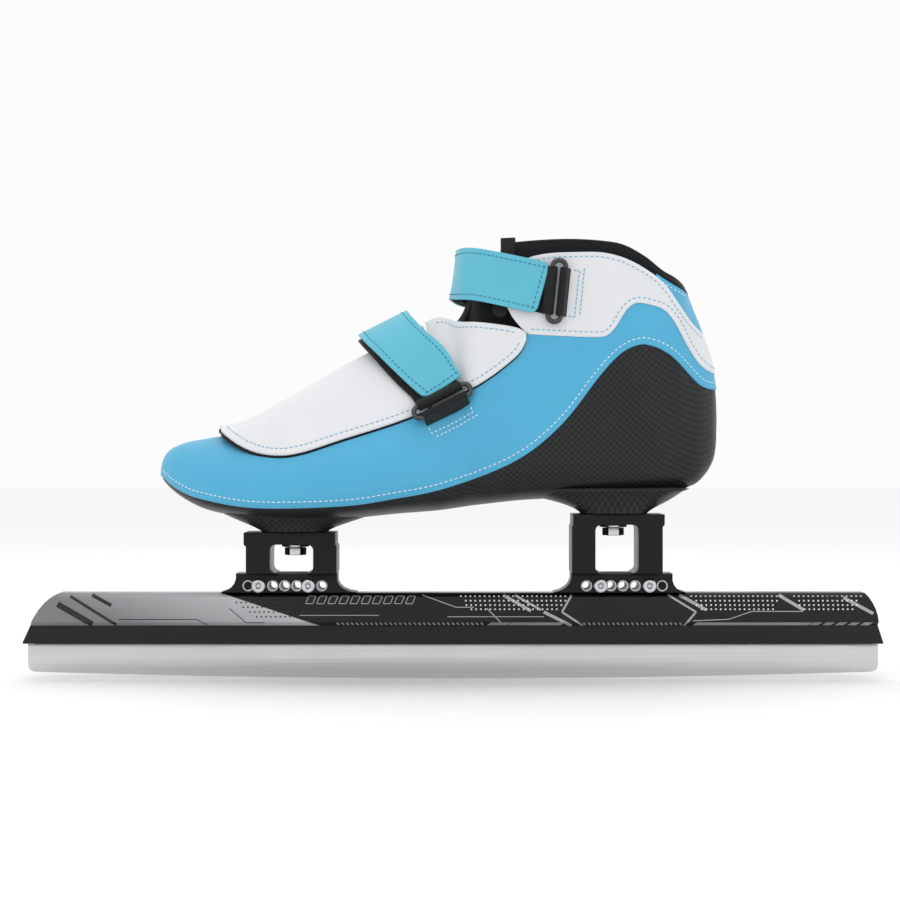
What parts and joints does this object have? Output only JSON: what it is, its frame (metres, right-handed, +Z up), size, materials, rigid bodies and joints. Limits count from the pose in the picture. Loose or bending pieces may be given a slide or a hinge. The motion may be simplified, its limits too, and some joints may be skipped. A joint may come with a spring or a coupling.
{
  "type": "short-track speed skate",
  "caption": "Low carbon speed-skating boot with two hook-and-loop straps over rings, on a fixed straight blade held by a front and a rear cup.",
  "frame": {"origin": "on the insole's top at the heel, right above the rear mounting bolt", "axes": "+X along the boot from toe to heel, -Y to the outer side of the foot, +Z up"},
  "size_m": [0.4365, 0.0948, 0.2224],
  "materials": {
    "carbon": "clear-coated carbon laminate",
    "blue_upper": "blue microfibre, fine grain",
    "strap_blue": "light blue microfibre strap",
    "white_upper": "white microfibre, fine grain",
    "padding": "black knit over foam",
    "webbing": "black woven webbing",
    "lace": "grey-white braided lace",
    "insole": "grey felt",
    "ring_wire": "gloss black",
    "black_aluminium": "black anodised",
    "printed_tube": "black and silver print, anodised",
    "end_plug": "matt",
    "runner_steel": "ground, brushed",
    "bolt_steel": "zinc plated"
  },
  "bodies": {
    "boot": {"carbon_shell": "carbon", "vamp_upper": "blue_upper", "ankle_quarter_near": "white_upper", "ankle_quarter_far": "white_upper", "heel_panel": "blue_upper", "collar_padding": "padding", "collar_pull_tab": "webbing", "boot_lining": "padding", "tongue": "padding", "insole": "insole", "laces": "lace", "lace_cover_lining": "padding", "lace_cover": "white_upper", "instep_ring_near": "ring_wire", "instep_ring_tab_near": "webbing", "instep_ring_far": "ring_wire", "instep_ring_tab_far": "webbing", "instep_strap_lower": "webbing", "ankle_ring_near": "ring_wire", "ankle_ring_tab_near": "webbing", "ankle_ring_far": "ring_wire", "ankle_ring_tab_far": "webbing", "ankle_strap_lower": "webbing", "lace_guide_near": "webbing", "lace_guide_far": "webbing", "sole_block_front": "bolt_steel", "mounting_bolt_front": "bolt_steel", "mounting_washer_front": "bolt_steel", "sole_block_rear": "bolt_steel", "mounting_bolt_rear": "bolt_steel", "mounting_washer_rear": "bolt_steel"},
    "instep_strap": {"instep_strap_upper": "strap_blue"},
    "ankle_strap": {"ankle_strap_upper": "strap_blue"},
    "blade": {"front_cup": "black_aluminium", "front_tower": "black_aluminium", "front_side_screw_1": "bolt_steel", "front_side_nut_1": "bolt_steel", "front_side_screw_2": "bolt_steel", "front_side_nut_2": "bolt_steel", "rear_cup": "black_aluminium", "rear_tower": "black_aluminium", "rear_side_screw_1": "bolt_steel", "rear_side_nut_1": "bolt_steel", "rear_side_screw_2": "bolt_steel", "rear_side_nut_2": "bolt_steel", "blade_tube": "printed_tube", "tube_plug_toe": "end_plug", "tube_plug_heel": "end_plug", "blade_runner": "runner_steel"}
  },
  "joints": [
    {"name": "instep_strap_open", "type": "hinge", "parent": "boot", "child": "instep_strap", "pos_m": [-0.08789, 0.04025, 0.0427], "axis": [-0.8787, 0.1659, -0.4477], "range_deg": [0, 100]},
    {"name": "ankle_strap_open", "type": "hinge", "parent": "boot", "child": "ankle_strap", "pos_m": [-0.04452, 0.03719, 0.09514], "axis": [-0.1044, 0.0425, -0.9936], "range_deg": [0, 55]},
    {"name": "blade_offset", "type": "slide", "parent": "boot", "child": "blade", "axis": [0, 1, 0], "range_m": [-0.005, 0.005]}
  ]
}
